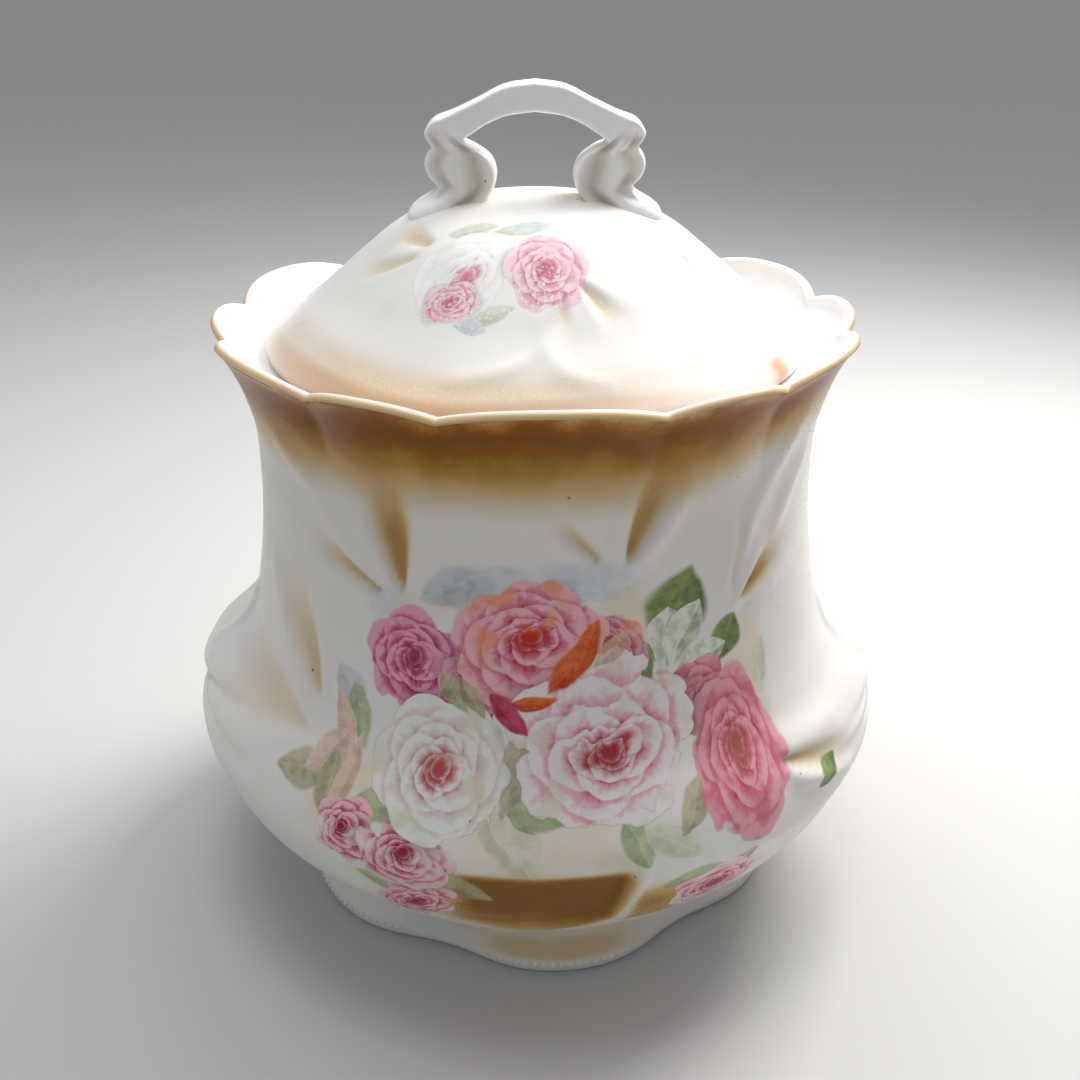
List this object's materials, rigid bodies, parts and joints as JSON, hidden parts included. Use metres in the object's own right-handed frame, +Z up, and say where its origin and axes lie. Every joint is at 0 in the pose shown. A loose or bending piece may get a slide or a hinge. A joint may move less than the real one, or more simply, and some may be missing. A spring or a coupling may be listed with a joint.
{
  "type": "lidded biscuit jar",
  "caption": "Waisted porcelain jar with a scalloped rim, lobed foot, painted roses and a lift-off domed lid with a bridge handle.",
  "frame": {"origin": "on the jar's axis, at the level that the foot stands on", "axes": "+Z up along the jar's axis, the painted front faces -Y, the handle bridges along X"},
  "size_m": [0.1702, 0.1702, 0.195],
  "materials": {
    "jar_porcelain": "satin gloss glaze, brown airbrushed collar, painted roses on the front",
    "lid_porcelain": "satin gloss glaze, worn brown lustre band at the edge, painted roses",
    "handle_porcelain": "plain white gloss glaze"
  },
  "bodies": {
    "jar": {"jar_body": "jar_porcelain"},
    "lid": {"lid_dome": "lid_porcelain", "lid_handle": "handle_porcelain"}
  },
  "joints": [
    {"name": "lid_lift", "type": "slide", "parent": "jar", "child": "lid", "axis": [0, 0, 1], "range_m": [0, 0.05]}
  ]
}
